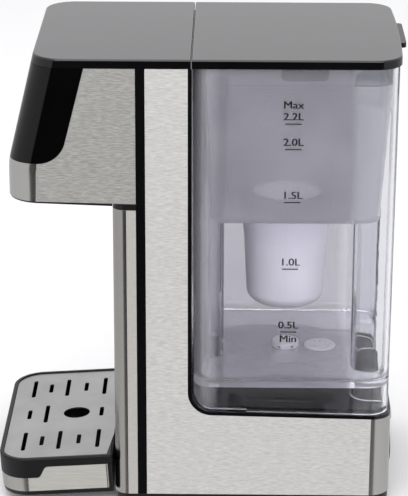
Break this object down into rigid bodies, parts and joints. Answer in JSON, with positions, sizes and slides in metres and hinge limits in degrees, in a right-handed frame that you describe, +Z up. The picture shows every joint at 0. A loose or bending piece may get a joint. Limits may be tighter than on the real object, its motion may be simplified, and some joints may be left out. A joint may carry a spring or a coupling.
{
  "type": "countertop hot water dispenser",
  "caption": "Countertop instant hot-water dispenser: spout head over a drip tray, brushed steel column, and a clear lift-out tank with lid, funnel and filter behind it.",
  "frame": {"origin": "on the worktop under the middle of the machine, centre of the bounding box's base", "axes": "+Z up; the spout and drip tray face -Y; +X is on the right of a user who faces the spout"},
  "size_m": [0.142, 0.2498, 0.288],
  "materials": {
    "gloss_black": "polished gloss black",
    "steel": "horizontally brushed stainless",
    "grille_steel": "satin stainless",
    "black_abs": "semi-gloss moulded black",
    "matte_black": "fine matte moulded black",
    "inner_plastic": "unpolished moulded black",
    "rubber": "matte rubber",
    "silicone": "translucent silicone hose",
    "spout_plastic": "satin black moulding",
    "zinc_steel": "bright zinc plated",
    "heater_metal": "cast aluminium",
    "circuit_board": "green solder mask",
    "clear_tank": "clear smoke-tinted copolyester",
    "clear_funnel": "clear smoke-tinted copolyester",
    "cup_plastic": "translucent moulding",
    "cartridge_plastic": "pale moulding",
    "valve_plastic": "pale moulding"
  },
  "bodies": {
    "machine": {"base_pan": "black_abs", "base_screws": "zinc_steel", "bay_liner": "black_abs", "board_parts": "inner_plastic", "column_collar": "black_abs", "column_frame": "inner_plastic", "column_front": "steel", "control_board": "circuit_board", "control_glass": "gloss_black", "cord_gland": "black_abs", "display_module": "inner_plastic", "feed_tube": "silicone", "flow_heater": "heater_metal", "head_frame": "inner_plastic", "head_screws": "zinc_steel", "head_shell": "steel", "head_underside": "black_abs", "heater_bracket": "zinc_steel", "intake_tube": "silicone", "level_sensor": "inner_plastic", "outlet_tube": "silicone", "power_board": "circuit_board", "pump_cradle": "inner_plastic", "pump_housing": "inner_plastic", "pump_motor": "zinc_steel", "rear_panel": "black_abs", "rear_screws": "zinc_steel", "rubber_feet": "rubber", "socket_seal": "rubber", "spout_nozzle": "spout_plastic", "steel_side_left": "steel", "steel_side_right": "steel", "stripe_left": "black_abs", "stripe_right": "black_abs", "tank_socket": "inner_plastic", "thermal_cutout": "inner_plastic", "top_cover": "gloss_black", "touch_springs": "zinc_steel"},
    "tank": {"tank_body": "clear_tank", "tank_valve": "valve_plastic", "tank_strainer": "valve_plastic", "valve_spring": "zinc_steel"},
    "poppet": {"valve_poppet": "valve_plastic"},
    "funnel": {"funnel": "clear_funnel"},
    "filter": {"filter_cup": "cup_plastic", "filter_cartridge": "cartridge_plastic"},
    "lid": {"lid_top": "gloss_black", "lid_frame": "black_abs", "lid_ear": "black_abs"},
    "tray": {"tray_base": "black_abs", "tray_band": "steel", "tray_feet": "rubber"},
    "pan": {"drip_pan": "matte_black"},
    "grille": {"grille": "grille_steel"},
    "rotor": {"motor_rotor": "zinc_steel", "pump_impeller": "valve_plastic"}
  },
  "joints": [
    {"name": "tank_lift", "type": "slide", "parent": "machine", "child": "tank", "axis": [0, 0, 1], "range_m": [0, 0.06]},
    {"name": "valve_lift", "type": "slide", "parent": "tank", "child": "poppet", "axis": [0, 0, 1], "range_m": [0, 0.003], "stiffness_N_per_m": 60, "springref_m": -0.004, "deforming": ["valve_spring"]},
    {"name": "funnel_lift", "type": "slide", "parent": "tank", "child": "funnel", "axis": [0, 0, 1], "range_m": [0, 0.175]},
    {"name": "filter_twist", "type": "hinge", "parent": "funnel", "child": "filter", "pos_m": [0, 0.0543, 0.183], "axis": [0, 0, 1], "range_deg": [0, 30]},
    {"name": "lid_lift", "type": "slide", "parent": "funnel", "child": "lid", "axis": [0, 0, 1], "range_m": [0, 0.05]},
    {"name": "tray_pull", "type": "slide", "parent": "machine", "child": "tray", "axis": [0, -1, 0], "range_m": [0, 0.09]},
    {"name": "pan_lift", "type": "slide", "parent": "tray", "child": "pan", "axis": [0, 0, 1], "range_m": [0, 0.04]},
    {"name": "grille_lift", "type": "slide", "parent": "pan", "child": "grille", "axis": [0, 0, 1], "range_m": [0, 0.03]},
    {"name": "pump_spin", "type": "hinge", "parent": "machine", "child": "rotor", "pos_m": [0.045, 0.0549, 0.026], "axis": [1, 0, 0], "continuous": true}
  ]
}
